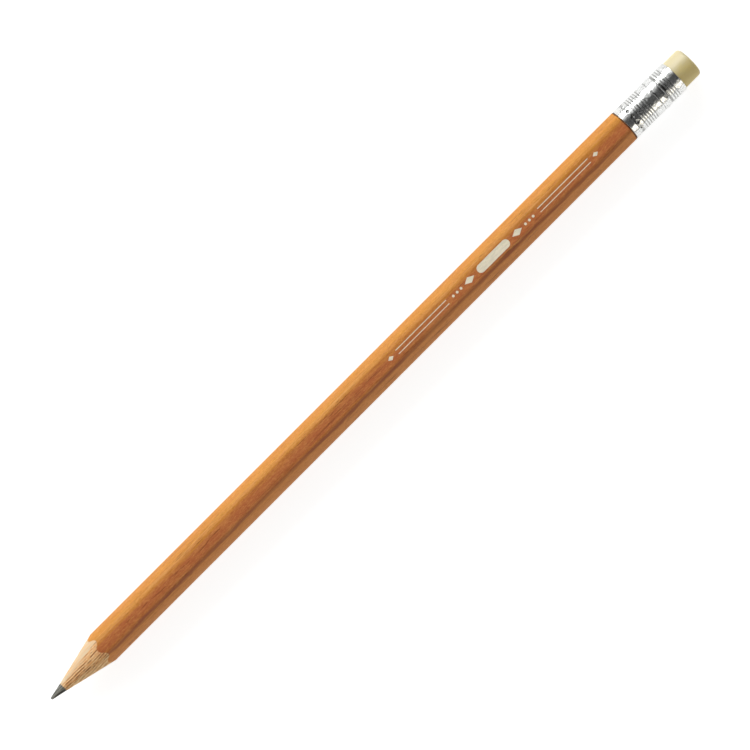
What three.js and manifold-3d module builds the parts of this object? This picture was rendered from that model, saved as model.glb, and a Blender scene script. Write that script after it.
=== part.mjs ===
// A sharpened, wood-cased, hexagonal pencil with a crimped metal ferrule and an eraser.
//
// Two grooved wood slats are glued round a graphite core and varnished. The sharpened cone runs through
// varnish, wood and core, and where it leaves the hexagon it cuts the varnish back in scallops. At the
// other end the wood is turned down to a round tenon, and a thin metal ferrule holds it to the eraser.
//
// Millimetres. +X runs along the pencil from the point to the eraser, and +Z is up. The origin lies
// under the middle of the pencil, on the surface that it rests on.

import * as THREE from "three";
import { mergeVertices } from "three/addons/utils/BufferGeometryUtils.js";
import Module from "manifold-3d";

const wasm = await Module();
wasm.setup();

// Barrel: the hexagonal case, from the point to the shoulder that the ferrule butts against.
const BARREL_LENGTH = 170.55;
const ACROSS_FLATS = 7.0;
const CORNER_RADIUS = 1.5;
const SHOULDER_CHAMFER = 0.12;
const TENON_LENGTH = 7.6;

// Varnish film, and the gap that stands for its bond to the wood.
const VARNISH_THICKNESS = 0.05;
const VARNISH_BOND = 0.02;

// Seam between the slats, through two opposite corners. The angle is from +Z towards -Y.
const SEAM_ANGLE_DEG = 30;
const GLUE_LINE = 0.05;

// Core and sharpened point.
const CORE_DIAMETER = 2.0;
const POINT_HALF_ANGLE_DEG = 13.3;
const POINT_TIP_RADIUS = 0.22;

// Ferrule: a formed tube. Its stretches follow each other from the wood to the mouth.
const FERRULE_DIAMETER = 7.7;
const FERRULE_WALL = 0.27;
const COLLAR_LENGTH = 1.4;
const STAKE_GROOVE_WIDTH = 1.3;
const STAKE_GROOVE_DEPTH = 0.08;
const WOOD_RIB_COUNT = 6;
const ERASER_RIB_COUNT = 3;
const RIB_PITCH = 0.62;
const RIB_DEPTH = 0.12;
const BAND_LENGTH = 2.0;
const NECK_WIDTH = 0.4;
const NECK_DEPTH = 0.1;
const BEAD_WIDTH = 1.5;
const BEAD_HEIGHT = 0.1;
const CRIMP_WIDTH = 0.8;
const CRIMP_DEPTH = 0.2;
const MOUTH_LENGTH = 1.82;
const LIP_RADIUS = 0.1;

// Staking pricks: four-sided dents round the stake groove, less deep than the wall.
const STAKE_COUNT = 15;
const STAKE_WIDTH = 1.05;
const STAKE_DEPTH = 0.16;

// Eraser plug.
const ERASER_REACH = 4.6;
const ERASER_EDGE_RADIUS = 0.75;
const ERASER_TENON_GAP = 0.2;

// Clearances between the ferrule and what it holds.
const FERRULE_FIT = 0.05;
const SHOULDER_GAP = 0.05;

// Facets.
const POINT_SEGMENTS = 72;
const CORE_SEGMENTS = 36;
const FERRULE_SEGMENTS = 36;
const CORNER_SEGMENTS = 6;
const ARC_STEPS = 4;

const radians = THREE.MathUtils.degToRad;

// Sizes worked out from the driving dimensions.
const CORNER_STRETCH = 1 / Math.cos(radians(30));
const CORNER_REACH = (ACROSS_FLATS / 2 - CORNER_RADIUS) * CORNER_STRETCH + CORNER_RADIUS;
const SHOULDER_RADIUS = CORNER_REACH - SHOULDER_CHAMFER;
const FERRULE_RADIUS = FERRULE_DIAMETER / 2;
const WOOD_RIBS_LENGTH = WOOD_RIB_COUNT * RIB_PITCH;
const ERASER_RIBS_LENGTH = ERASER_RIB_COUNT * RIB_PITCH;
const FERRULE_LENGTH =
  COLLAR_LENGTH + STAKE_GROOVE_WIDTH + WOOD_RIBS_LENGTH + BAND_LENGTH + NECK_WIDTH + BEAD_WIDTH +
  CRIMP_WIDTH + ERASER_RIBS_LENGTH + MOUTH_LENGTH;
const TENON_RADIUS =
  FERRULE_RADIUS - Math.max(RIB_DEPTH, STAKE_GROOVE_DEPTH) - FERRULE_WALL - FERRULE_FIT;
const PLUG_RADIUS = FERRULE_RADIUS - FERRULE_WALL - FERRULE_FIT;
const OVERALL_LENGTH = BARREL_LENGTH + SHOULDER_GAP + FERRULE_LENGTH + ERASER_REACH;
const AXIS_HEIGHT = Math.max(FERRULE_RADIUS + BEAD_HEIGHT, ACROSS_FLATS / 2);

// The cone that a round tip of POINT_TIP_RADIUS at x = 0 is tangent to.
const POINT_SLOPE = Math.tan(radians(POINT_HALF_ANGLE_DEG));
const TIP_CENTRE = POINT_TIP_RADIUS;
const POINT_APEX = TIP_CENTRE - POINT_TIP_RADIUS / Math.sin(radians(POINT_HALF_ANGLE_DEG));

function pointPlaceAt(radius) {
  return POINT_APEX + radius / POINT_SLOPE;
}

// A profile of [place along the axis, radius] pairs, turned about the X axis.
function revolve(profile, segments) {
  const points = profile.map(([place, radius]) => new THREE.Vector2(radius, place));
  return new THREE.LatheGeometry(points, segments).rotateZ(-Math.PI / 2);
}

// Points on an arc in the profile plane. Angle 0 points along +X and 90 degrees points outward.
function arc(place, radius, arcRadius, fromDeg, toDeg) {
  const points = [];
  for (let step = 0; step <= ARC_STEPS; step += 1) {
    const angle = radians(THREE.MathUtils.lerp(fromDeg, toDeg, step / ARC_STEPS));
    points.push([place + arcRadius * Math.cos(angle), radius + arcRadius * Math.sin(angle)]);
  }
  return points;
}

// A rounded swell or, with a negative height, a rounded groove: half a wave over its width.
function swell(start, width, height) {
  const points = [];
  for (let step = 0; step <= ARC_STEPS; step += 1) {
    const share = step / ARC_STEPS;
    points.push([start + share * width, FERRULE_RADIUS + height * Math.sin(share * Math.PI)]);
  }
  return points;
}

// Rolled ribs: each pitch is one valley between two crests.
function ribs(start, count) {
  const points = [];
  for (let rib = 0; rib < count; rib += 1) {
    points.push([start + rib * RIB_PITCH, FERRULE_RADIUS]);
    points.push([start + (rib + 0.5) * RIB_PITCH, FERRULE_RADIUS - RIB_DEPTH]);
  }
  points.push([start + count * RIB_PITCH, FERRULE_RADIUS]);
  return points;
}

// The ferrule's outer profile, from the wood at x = 0 to the start of the lip at the mouth.
const STAKE_START = COLLAR_LENGTH;
const WOOD_RIBS_START = STAKE_START + STAKE_GROOVE_WIDTH;
const NECK_START = WOOD_RIBS_START + WOOD_RIBS_LENGTH + BAND_LENGTH;
const BEAD_START = NECK_START + NECK_WIDTH;
const CRIMP_START = BEAD_START + BEAD_WIDTH;
const ERASER_RIBS_START = CRIMP_START + CRIMP_WIDTH;

function ferruleProfile() {
  const stretches = [
    [[0, FERRULE_RADIUS]],
    swell(STAKE_START, STAKE_GROOVE_WIDTH, -STAKE_GROOVE_DEPTH),
    ribs(WOOD_RIBS_START, WOOD_RIB_COUNT),
    swell(NECK_START, NECK_WIDTH, -NECK_DEPTH),
    swell(BEAD_START, BEAD_WIDTH, BEAD_HEIGHT),
    swell(CRIMP_START, CRIMP_WIDTH, -CRIMP_DEPTH),
    ribs(ERASER_RIBS_START, ERASER_RIB_COUNT),
  ];
  const isNew = ([place], index, all) => index === 0 || place - all[index - 1][0] > 1e-6;
  return stretches.flat().filter(isNew);
}

// Rounded hexagonal bar along +X with a flat on top, inset all round from the finished barrel.
function hexagonalBar(inset, start, end) {
  const apothem = ACROSS_FLATS / 2 - inset;
  const cornerRadius = Math.max(CORNER_RADIUS - inset, VARNISH_THICKNESS);
  const centreReach = (apothem - cornerRadius) * CORNER_STRETCH;
  const outline = new THREE.Shape();
  for (let corner = 0; corner < 6; corner += 1) {
    const angle = radians(30 + 60 * corner);
    const x = centreReach * Math.cos(angle);
    const y = centreReach * Math.sin(angle);
    outline.absarc(x, y, cornerRadius, angle - radians(30), angle + radians(30), false);
  }
  outline.closePath();
  const settings = { depth: end - start, bevelEnabled: false, curveSegments: CORNER_SEGMENTS };
  return new THREE.ExtrudeGeometry(outline, settings).rotateY(Math.PI / 2).translate(start, 0, 0);
}

// What the turning tools leave of the barrel: the sharpened cone, the chamfered shoulder and the tenon.
function turnedBarrel(tenonRadius) {
  const clear = ACROSS_FLATS;
  const end = BARREL_LENGTH + TENON_LENGTH;
  const profile = [
    [POINT_APEX, 0],
    [pointPlaceAt(clear), clear],
    [BARREL_LENGTH - (clear - SHOULDER_RADIUS), clear],
    [BARREL_LENGTH, SHOULDER_RADIUS],
    [BARREL_LENGTH, tenonRadius],
    [end, tenonRadius],
    [end, 0],
  ];
  return revolve(profile, POINT_SEGMENTS);
}

// Solids for cutting and joining.
function solidOf(geometry) {
  const bare = geometry.clone();
  bare.deleteAttribute("normal");
  bare.deleteAttribute("uv");
  const merged = mergeVertices(bare, 1e-5);
  const index = merged.index.array;
  const corners = [];
  for (let at = 0; at < index.length; at += 3) {
    const [a, b, c] = index.slice(at, at + 3);
    if (a !== b && b !== c && c !== a) corners.push(a, b, c);
  }
  const vertProperties = new Float32Array(merged.attributes.position.array);
  const triVerts = new Uint32Array(corners);
  return new wasm.Manifold(new wasm.Mesh({ numProp: 3, vertProperties, triVerts }));
}

function geometryOf(solid) {
  const mesh = solid.getMesh();
  const geometry = new THREE.BufferGeometry();
  geometry.setAttribute("position", new THREE.BufferAttribute(mesh.vertProperties, 3));
  geometry.setIndex(new THREE.BufferAttribute(mesh.triVerts, 1));
  geometry.computeVertexNormals();
  return geometry;
}

// Half of all space on one side of the seam, half a glue line away from it.
function seamSide(turnDeg) {
  const reach = BARREL_LENGTH + TENON_LENGTH;
  const side = new THREE.BoxGeometry(4 * reach, 4 * ACROSS_FLATS, 2 * ACROSS_FLATS);
  return side.translate(0, 0, ACROSS_FLATS + GLUE_LINE / 2).rotateX(radians(turnDeg));
}

function corePiece() {
  const radius = CORE_DIAMETER / 2;
  const tangent = 90 + POINT_HALF_ANGLE_DEG;
  const end = BARREL_LENGTH + TENON_LENGTH;
  const profile = [
    ...arc(TIP_CENTRE, 0, POINT_TIP_RADIUS, 180, tangent),
    [pointPlaceAt(radius), radius],
    [end, radius],
    [end, 0],
  ];
  return revolve(profile, CORE_SEGMENTS);
}

// Both slats before they are parted: hexagonal, sharpened, grooved for the core, turned to a tenon.
function slatPair() {
  const start = POINT_APEX;
  const end = BARREL_LENGTH + 2 * TENON_LENGTH;
  const groove = CORE_DIAMETER / 2 + GLUE_LINE;
  const grooveProfile = [
    [start, 0],
    [start, groove],
    [end, groove],
    [end, 0],
  ];
  const bar = solidOf(hexagonalBar(VARNISH_THICKNESS + VARNISH_BOND, start, end));
  const turned = bar.intersect(solidOf(turnedBarrel(TENON_RADIUS)));
  return turned.subtract(solidOf(revolve(grooveProfile, CORE_SEGMENTS)));
}

function slatPiece(turnDeg) {
  return geometryOf(slatPair().intersect(solidOf(seamSide(turnDeg))));
}

// The film on the hexagon, cut back by the sharpened cone and by the chamfer of the shoulder, with no tenon.
function varnishPiece() {
  const outside = solidOf(hexagonalBar(0, 0, BARREL_LENGTH));
  const inside = solidOf(hexagonalBar(VARNISH_THICKNESS, -BARREL_LENGTH, 2 * BARREL_LENGTH));
  return geometryOf(outside.subtract(inside).intersect(solidOf(turnedBarrel(0))));
}

// A formed tube: the inner wall follows the outer one at the wall's thickness, and the lip is rounded.
function ferrulePiece() {
  const outer = ferruleProfile();
  const inner = outer.map(([place, radius]) => [place, radius - FERRULE_WALL]).reverse();
  const profile = [
    ...outer,
    ...arc(FERRULE_LENGTH - LIP_RADIUS, FERRULE_RADIUS - LIP_RADIUS, LIP_RADIUS, 90, 0),
    [FERRULE_LENGTH, FERRULE_RADIUS - FERRULE_WALL],
    ...inner,
    outer[0],
  ];
  let tube = solidOf(revolve(profile, FERRULE_SEGMENTS));
  for (let stake = 0; stake < STAKE_COUNT; stake += 1) {
    tube = tube.subtract(solidOf(stakingPrick((360 * stake) / STAKE_COUNT)));
  }
  return geometryOf(tube);
}

// A four-sided punch point, driven in square to the wall at an angle round the axis.
function stakingPrick(turnDeg) {
  const surface = FERRULE_RADIUS - STAKE_GROOVE_DEPTH;
  const height = 2 * STAKE_DEPTH;
  const punch = new THREE.ConeGeometry(STAKE_WIDTH, height, 4).rotateX(-Math.PI / 2);
  const place = STAKE_START + STAKE_GROOVE_WIDTH / 2;
  return punch.translate(place, 0, surface).rotateX(radians(turnDeg));
}

// The plug fills the ferrule from the tenon to the mouth, pinched wherever the ferrule is rolled in.
function eraserPiece() {
  const start = TENON_LENGTH - SHOULDER_GAP + ERASER_TENON_GAP;
  const end = FERRULE_LENGTH + ERASER_REACH;
  const seated = ferruleProfile()
    .filter(([place]) => place > start)
    .map(([place, radius]) => [place, Math.min(PLUG_RADIUS, radius - FERRULE_WALL - FERRULE_FIT)]);
  const profile = [
    [start, 0],
    [start, PLUG_RADIUS],
    ...seated,
    ...arc(end - ERASER_EDGE_RADIUS, PLUG_RADIUS - ERASER_EDGE_RADIUS, ERASER_EDGE_RADIUS, 90, 0),
    [end, 0],
  ];
  return revolve(profile, FERRULE_SEGMENTS);
}

function named(name, geometry, color, roughness, metalness) {
  const material = new THREE.MeshStandardMaterial({ color, roughness, metalness });
  const mesh = new THREE.Mesh(geometry, material);
  mesh.name = name;
  return mesh;
}

// The seam's plane stands at SEAM_ANGLE_DEG, and each slat lies a quarter turn to one side of it.
const barrel = new THREE.Group();
barrel.add(named("graphite_core", corePiece(), "#4b4a46", 0.45, 0.4));
barrel.add(named("upper_slat", slatPiece(SEAM_ANGLE_DEG - 90), "#e2bd8c", 0.75, 0));
barrel.add(named("lower_slat", slatPiece(SEAM_ANGLE_DEG + 90), "#dcb583", 0.75, 0));
barrel.add(named("varnish_coat", varnishPiece(), "#c8853c", 0.35, 0));

const eraserEnd = new THREE.Group();
eraserEnd.position.x = BARREL_LENGTH + SHOULDER_GAP;
eraserEnd.add(named("ferrule", ferrulePiece(), "#d9dbda", 0.22, 1));
eraserEnd.add(named("eraser", eraserPiece(), "#ddcf9a", 0.85, 0));

const pencil = new THREE.Group();
pencil.position.set(-OVERALL_LENGTH / 2, 0, AXIS_HEIGHT);
pencil.add(barrel, eraserEnd);

export default pencil;
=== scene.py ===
"""A sharpened, varnished hexagonal pencil with a crimped ferrule and an eraser, on a pale studio floor."""

import math

import bmesh
import bpy
from bpy.props import FloatProperty, FloatVectorProperty, IntProperty, PointerProperty
from bpy.types import Operator, Panel, PropertyGroup
from mathutils import Matrix, Vector, noise


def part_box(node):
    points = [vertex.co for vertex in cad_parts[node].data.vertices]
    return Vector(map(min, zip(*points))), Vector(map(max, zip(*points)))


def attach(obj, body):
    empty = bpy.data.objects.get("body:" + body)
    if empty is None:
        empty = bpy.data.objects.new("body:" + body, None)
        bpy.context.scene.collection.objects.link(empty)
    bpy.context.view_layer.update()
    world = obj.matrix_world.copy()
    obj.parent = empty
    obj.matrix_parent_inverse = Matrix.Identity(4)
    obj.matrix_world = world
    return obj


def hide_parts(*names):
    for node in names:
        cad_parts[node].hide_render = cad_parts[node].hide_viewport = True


bl_info = {
    "name": "Varnished Pencil",
    "version": (1, 0, 0),
    "blender": (4, 5, 0),
    "location": "View3D > Sidebar > Pencil",
    "description": "Dresses a hexagonal pencil: core, slats, varnish, foil, ferrule, eraser and stage",
    "category": "Add Mesh",
}

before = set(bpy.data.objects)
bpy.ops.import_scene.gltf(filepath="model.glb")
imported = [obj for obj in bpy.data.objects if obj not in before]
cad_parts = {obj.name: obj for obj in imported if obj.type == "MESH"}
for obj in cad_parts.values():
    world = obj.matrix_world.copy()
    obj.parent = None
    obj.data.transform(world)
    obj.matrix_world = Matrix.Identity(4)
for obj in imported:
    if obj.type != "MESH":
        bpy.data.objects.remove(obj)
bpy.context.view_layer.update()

MM = 0.001
BODY = "root"

# Places and sizes that the frame gives
COAT_LOW, COAT_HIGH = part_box("varnish_coat")
CORE_LOW, CORE_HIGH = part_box("graphite_core")
FERRULE_LOW, FERRULE_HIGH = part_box("ferrule")
ERASER_LOW, ERASER_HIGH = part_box("eraser")
AXIS_HEIGHT = (COAT_LOW[2] + COAT_HIGH[2]) / 2
TIP_PLACE = CORE_LOW[0]
SHOULDER_PLACE = COAT_HIGH[0]
TENON_END = CORE_HIGH[0]
ACROSS_FLATS = COAT_HIGH[2] - COAT_LOW[2]
ACROSS_CORNERS = COAT_HIGH[1] - COAT_LOW[1]
CORNER_STRETCH = 1 / math.cos(math.radians(30))
CORNER_RADIUS = (ACROSS_FLATS * CORNER_STRETCH - ACROSS_CORNERS) / 2 / (CORNER_STRETCH - 1)
BEAD_DIAMETER = FERRULE_HIGH[1] - FERRULE_LOW[1]
BEAD_HEIGHT = 0.1 * MM

# The seam between the slats: its plane holds the pencil's axis and two opposite corners
SEAM_ANGLE = math.radians(30)
SEAM_NORMAL = Vector((0, math.cos(SEAM_ANGLE), math.sin(SEAM_ANGLE)))


def srgb(red, green, blue):
    """A colour given in display values up to 255, as the linear values that a shader takes."""
    def linear(value):
        share = value / 255
        return share / 12.92 if share <= 0.04045 else ((share + 0.055) / 1.055) ** 2.4

    return linear(red), linear(green), linear(blue), 1.0


def length(name, description, default):
    """A size in metres that a user may change."""
    return FloatProperty(
        name=name, description=description, default=default, min=0, unit="LENGTH", precision=5
    )


def angle(name, description, degrees):
    """An angle that a user may change."""
    return FloatProperty(
        name=name, description=description, default=math.radians(degrees), subtype="ANGLE"
    )


def colour(name, description, default):
    """A surface colour that a user may change."""
    return FloatVectorProperty(
        name=name, description=description, default=default, size=4, min=0, max=1, subtype="COLOR"
    )


def brightness(name, description, default):
    """A light level that a user may change, where 1 is white."""
    return FloatProperty(name=name, description=description, default=default, min=0)


def count(name, description, default):
    """A number of like features that a user may change."""
    return IntProperty(name=name, description=description, default=default, min=1)


class BarrelSettings(PropertyGroup):
    """The hexagonal case and its sharpened point."""

    across_flats: length("Across flats", "Over the varnish", ACROSS_FLATS)
    corner_radius: length("Corner radius", "Of the six long edges", CORNER_RADIUS)
    film: length("Film", "Thickness of the varnish", 0.05 * MM)
    bond: length("Bond", "Between the varnish and the wood", 0.02 * MM)
    glue: length("Glue line", "Between the slats, and round the core", 0.05 * MM)
    chamfer: length("Chamfer", "Turned off the corners at the shoulder", 0.12 * MM)
    tenon_radius: length("Tenon radius", "Of the wood inside the ferrule", 3.41 * MM)
    core_radius: length("Core radius", "Of the lead", (CORE_HIGH[1] - CORE_LOW[1]) / 2)
    cone_angle: angle("Cone angle", "Between the sharpened cone and the axis", 13.3)
    tip_radius: length("Tip radius", "Of the lead, as it was ground", 0.22 * MM)
    worn_radius: length("Worn radius", "Of the lead's point after some writing", 0.3 * MM)
    grain_relief: length("Grain relief", "Height of the fibres on the sharpened cone", 0.02 * MM)
    pore_rows: length("Pore rows", "From row to row of pores on the sharpened cone", 0.47 * MM)
    chips: length("Chips", "Raggedness of the varnish where the point is cut", 0.16 * MM)

    amber: colour("Amber", "Varnish over the pale wood", srgb(205, 138, 54))
    # Russet: the colour of the fibre streaks, and painted shade on the upper flat towards the seam corner
    russet_fibre_and_shade: colour("Russet", "Varnish over the redder wood by the seam", srgb(185, 105, 63))
    tan: colour("Tan", "Varnish over the other slat", srgb(220, 148, 84))
    # Worn: paler varnish for the light flecks, and for the corners, where it is partly wear and partly
    # painted highlight
    worn: colour("Worn", "Varnish rubbed thin along the corners", srgb(232, 178, 104))
    seam_stain: colour("Seam stain", "Varnish over the glue line", srgb(160, 90, 70))
    check: colour("Check", "Fine drying cracks and pores under the varnish", srgb(126, 66, 36))
    # Painted shadow where the varnish meets the ferrule
    joint_shadow: colour("Grime", "Dirt in the joint at the ferrule", srgb(62, 38, 26))
    pale_wood: colour("Pale wood", "Sharpened wood between the fibres", srgb(219, 197, 163))
    fibre: colour("Fibre", "Darker wood along the fibres", srgb(236, 167, 95))
    # Ridge: the colour of the torn fibres, and painted light on the cone's flank that faces the fill
    ridge_and_rim_light: colour("Ridge", "Torn fibres between the rows of pores", srgb(250, 222, 172))
    pore: colour("Pore", "Open pores in the wood", srgb(140, 74, 36))
    graphite: colour("Graphite", "The lead", srgb(136, 135, 126))


class StampSettings(PropertyGroup):
    """The pigment foil ornament on the upper flat: a label between lozenges, dots and rules."""

    middle: length("Middle", "Of the ornament, from the point", 131 * MM)
    thickness: length("Thickness", "Of the foil", 0.012 * MM)
    label_length: length("Label length", "Of the blank label", 9.2 * MM)
    label_width: length("Label width", "Of the blank label", 1.9 * MM)
    line_width: length("Line width", "Of the label's border and of the rules", 0.17 * MM)
    lozenge_length: length("Lozenge length", "Of the larger lozenges", 2.8 * MM)
    lozenge_width: length("Lozenge width", "Of the larger lozenges", 1.5 * MM)
    dot_radius: length("Dot radius", "Of the dots", 0.3 * MM)
    rule_length: length("Rule length", "Of the two rules at each end", 15 * MM)
    rule_spread: length("Rule spread", "From the middle of the flat to a rule", 0.5 * MM)
    spacing: length("Spacing", "Between neighbouring motifs", 1.1 * MM)
    dots: count("Dots", "On each side of the label", 3)

    cream: colour("Cream", "The pigment foil", srgb(247, 238, 214))


class FerruleSettings(PropertyGroup):
    """The formed metal tube. Its stretches follow each other from the wood to the mouth."""

    diameter: length("Diameter", "Over the plain bands", BEAD_DIAMETER - 2 * BEAD_HEIGHT)
    wall: length("Wall", "Thickness of the metal", 0.27 * MM)
    edge: length("Edge", "Radius of the rolled edge at the wood", 0.16 * MM)
    collar: length("Collar", "Plain stretch at the wood", 1.4 * MM)
    stake_width: length("Stake groove width", "Of the shallow groove that is staked", 1.3 * MM)
    stake_depth: length("Stake groove depth", "Of the shallow groove that is staked", 0.08 * MM)
    rib_pitch: length("Rib pitch", "From rib to rib", 0.62 * MM)
    rib_depth: length("Rib depth", "Of the valleys", 0.12 * MM)
    rib_valley: length("Rib valley", "Width of the valleys", 0.34 * MM)
    band: length("Band", "Plain stretch in the middle", 2.0 * MM)
    neck_width: length("Neck width", "Of the groove before the bead", 0.4 * MM)
    neck_depth: length("Neck depth", "Of the groove before the bead", 0.1 * MM)
    bead_width: length("Bead width", "Of the raised bead", 1.5 * MM)
    bead_height: length("Bead height", "Of the raised bead", BEAD_HEIGHT)
    crimp_width: length("Crimp width", "Of the deep groove after the bead", 0.8 * MM)
    crimp_depth: length("Crimp depth", "Of the deep groove after the bead", 0.2 * MM)
    mouth: length("Mouth", "Plain stretch at the eraser", 1.82 * MM)
    lip: length("Lip", "Radius of the rounded edge at the mouth", 0.1 * MM)
    prick_size: length("Prick size", "Of a staking prick, from corner to corner", 1.2 * MM)
    prick_depth: length("Prick depth", "Of a staking prick", 0.2 * MM)
    unevenness: length("Unevenness", "Of the rolled wall", 0.03 * MM)
    wood_ribs: count("Wood ribs", "Rolled over the wood", 6)
    eraser_ribs: count("Eraser ribs", "Rolled over the eraser", 3)
    pricks: count("Pricks", "Staking pricks round the collar", 15)

    metal: colour("Metal", "Bright aluminium", srgb(238, 239, 238))
    tarnish: colour("Tarnish", "Dull specks and scuffs", srgb(174, 175, 171))
    # Painted shade in the grooves and dents
    groove_shade: colour("Soil", "Dark dust in the grooves", srgb(92, 92, 88))


class EraserSettings(PropertyGroup):
    """The rubber plug."""

    radius: length("Radius", "Of the plug", (ERASER_HIGH[1] - ERASER_LOW[1]) / 2)
    edge_radius: length("Edge radius", "Of the rounded end", 0.75 * MM)
    pinch: length("Pinch", "Depth that the ferrule squeezes the plug by", 0.2 * MM)
    unevenness: length("Unevenness", "Of the cut rubber", 0.012 * MM)

    rubber: colour("Rubber", "The cream rubber", srgb(217, 196, 122))
    # Dust: the colour of the pale bloom, and also of the painted sheen on the key's side
    dust: colour("Dust", "Paler bloom on the rubber", srgb(214, 201, 157))


class StageSettings(PropertyGroup):
    """Floor, lights and camera."""

    camera_distance: length("Camera distance", "From the pencil's axis", 1300 * MM)
    frame_width: length("Frame width", "That the camera sees at the pencil", 157.56 * MM)
    aim_along: length("Aim along", "From the middle of the pencil towards the eraser", 0.95 * MM)
    aim_across: length("Aim across", "From the pencil's axis towards the key", 0.055 * MM)
    camera_tilt: angle("Camera tilt", "Of the view, from straight down towards the eraser", 3.8)
    camera_lean: angle("Camera lean", "Of the view, towards the fill", 2.5)
    camera_roll: angle("Camera roll", "Of the pencil in the frame", 45)
    floor_size: length("Floor size", "Of each side", 8.0)
    key_radiance: brightness("Key", "Brightness of the softbox", 4.1)
    fill_radiance: brightness("Fill", "Brightness of the fill", 1.75)
    end_radiance: brightness("End lights", "Brightness of the end lights", 0.8)
    horizon: brightness("Horizon", "Brightness round the floor's edge", 1.0)
    wash: brightness("Wash", "Brightness above the key, fading overhead", 1.0)
    ceiling: brightness("Ceiling", "Brightness overhead", 0.09)
    ends: brightness("Ends", "Brightness beyond the pencil's ends", 0.1)
    floor_glow: brightness("Floor glow", "Seen, not cast", 0.86)

    white: colour("White", "Of the key and the end lights", (1.0, 1.0, 1.0, 1.0))
    warm: colour("Warm", "Of the fill", (1.0, 0.95, 0.85, 1.0))
    floor: colour("Floor", "Pale paper, as it lights the pencil", (0.85, 0.85, 0.85, 1.0))
    floor_shade: colour("Floor shade", "Share of the light and shadow that shows", (0.38, 0.38, 0.38, 1.0))


# Meshes

def radius_at(place):
    """Distance of a point from the pencil's axis."""
    return math.hypot(place.y, place.z - AXIS_HEIGHT)


def set_radius(vertex, radius):
    """Moves a vertex straight out from, or in to, the axis."""
    share = radius / radius_at(vertex.co)
    vertex.co.y *= share
    vertex.co.z = AXIS_HEIGHT + (vertex.co.z - AXIS_HEIGHT) * share


def cone_place(barrel, radius):
    """Where along the pencil the sharpened cone has this radius."""
    apex = TIP_PLACE + barrel.tip_radius - barrel.tip_radius / math.sin(barrel.cone_angle)
    return apex + radius / math.tan(barrel.cone_angle)


def seat_on_cone(barrel, vertices):
    """Slides vertices along the pencil on to the sharpened cone."""
    for vertex in vertices:
        vertex.co.x = cone_place(barrel, radius_at(vertex.co))


def end_edges(mesh, place):
    """The open edges at one end of a tube."""
    def here(edge):
        return all(abs(vertex.co.x - place) < 1e-6 for vertex in edge.verts)

    return [edge for edge in mesh.edges if edge.is_boundary and here(edge)]


def vertices_of(edges):
    """The vertices of some edges, each once."""
    return list({vertex for edge in edges for vertex in edge.verts})


def extrude_loop(mesh, edges):
    """A copy of an edge loop, joined to it by new faces."""
    made = bmesh.ops.extrude_edge_only(mesh, edges=edges)["geom"]
    return [part for part in made if isinstance(part, bmesh.types.BMEdge)]


def hexagonal_tube(mesh, across_flats, corner_radius, start, end, corner_steps, flat_cuts):
    """An open tube along the pencil with rounded corners and a flat on top."""
    reach = across_flats / 2 * CORNER_STRETCH
    place = Matrix.Translation(((start + end) / 2, 0, AXIS_HEIGHT))
    bmesh.ops.create_cone(
        mesh, cap_ends=False, segments=6, radius1=reach, radius2=reach, depth=end - start,
        matrix=place @ Matrix.Rotation(math.radians(90), 4, "Y"),
    )
    corners = [edge for edge in mesh.edges if edge.calc_length() > (end - start) / 2]
    bmesh.ops.bevel(
        mesh, geom=corners, offset=corner_radius * math.tan(math.radians(30)), offset_type="OFFSET",
        segments=corner_steps, profile=0.5, affect="EDGES", material=-1,
    )
    flat_width = (across_flats / 2 - corner_radius) * 2 * math.tan(math.radians(30))
    flats = [edge for edge in mesh.edges if abs(edge.calc_length() - flat_width) < flat_width / 10]
    bmesh.ops.subdivide_edges(mesh, edges=flats, cuts=flat_cuts, use_grid_fill=True)


def spun(profile, steps):
    """A closed body of revolution about the pencil's axis, from (place, radius) pairs."""
    mesh = bmesh.new()
    corners = [mesh.verts.new((place, 0, AXIS_HEIGHT + radius)) for place, radius in profile]
    edges = [mesh.edges.new(pair) for pair in zip(corners, corners[1:])]
    bmesh.ops.spin(
        mesh, geom=corners + edges, cent=(0, 0, AXIS_HEIGHT), axis=(1, 0, 0), dvec=(0, 0, 0),
        angle=math.tau, steps=steps, use_merge=True,
    )
    bmesh.ops.remove_doubles(mesh, verts=mesh.verts, dist=1e-8)
    return mesh


def arc(place, radius, bend, start, end, steps):
    """Points on an arc of a profile. Angle 0 points to the eraser and 90 degrees points outward."""
    for step in range(steps + 1):
        turn = math.radians(start + (end - start) * step / steps)
        yield place + bend * math.cos(turn), radius + bend * math.sin(turn)


def piece_from(mesh, name, material, node=None, crease=40):
    """Links a finished mesh as a piece of the pencil that rides on its one body."""
    bmesh.ops.recalc_face_normals(mesh, faces=mesh.faces)
    data = bpy.data.meshes.new(name)
    mesh.to_mesh(data)
    mesh.free()
    data.materials.append(material)
    data.shade_smooth()
    data.set_sharp_from_angle(angle=math.radians(crease))
    piece = bpy.data.objects.new(name, data)
    bpy.context.scene.collection.objects.link(piece)
    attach(piece, BODY)
    if node:
        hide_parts(node)
    return piece


# Materials

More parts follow.
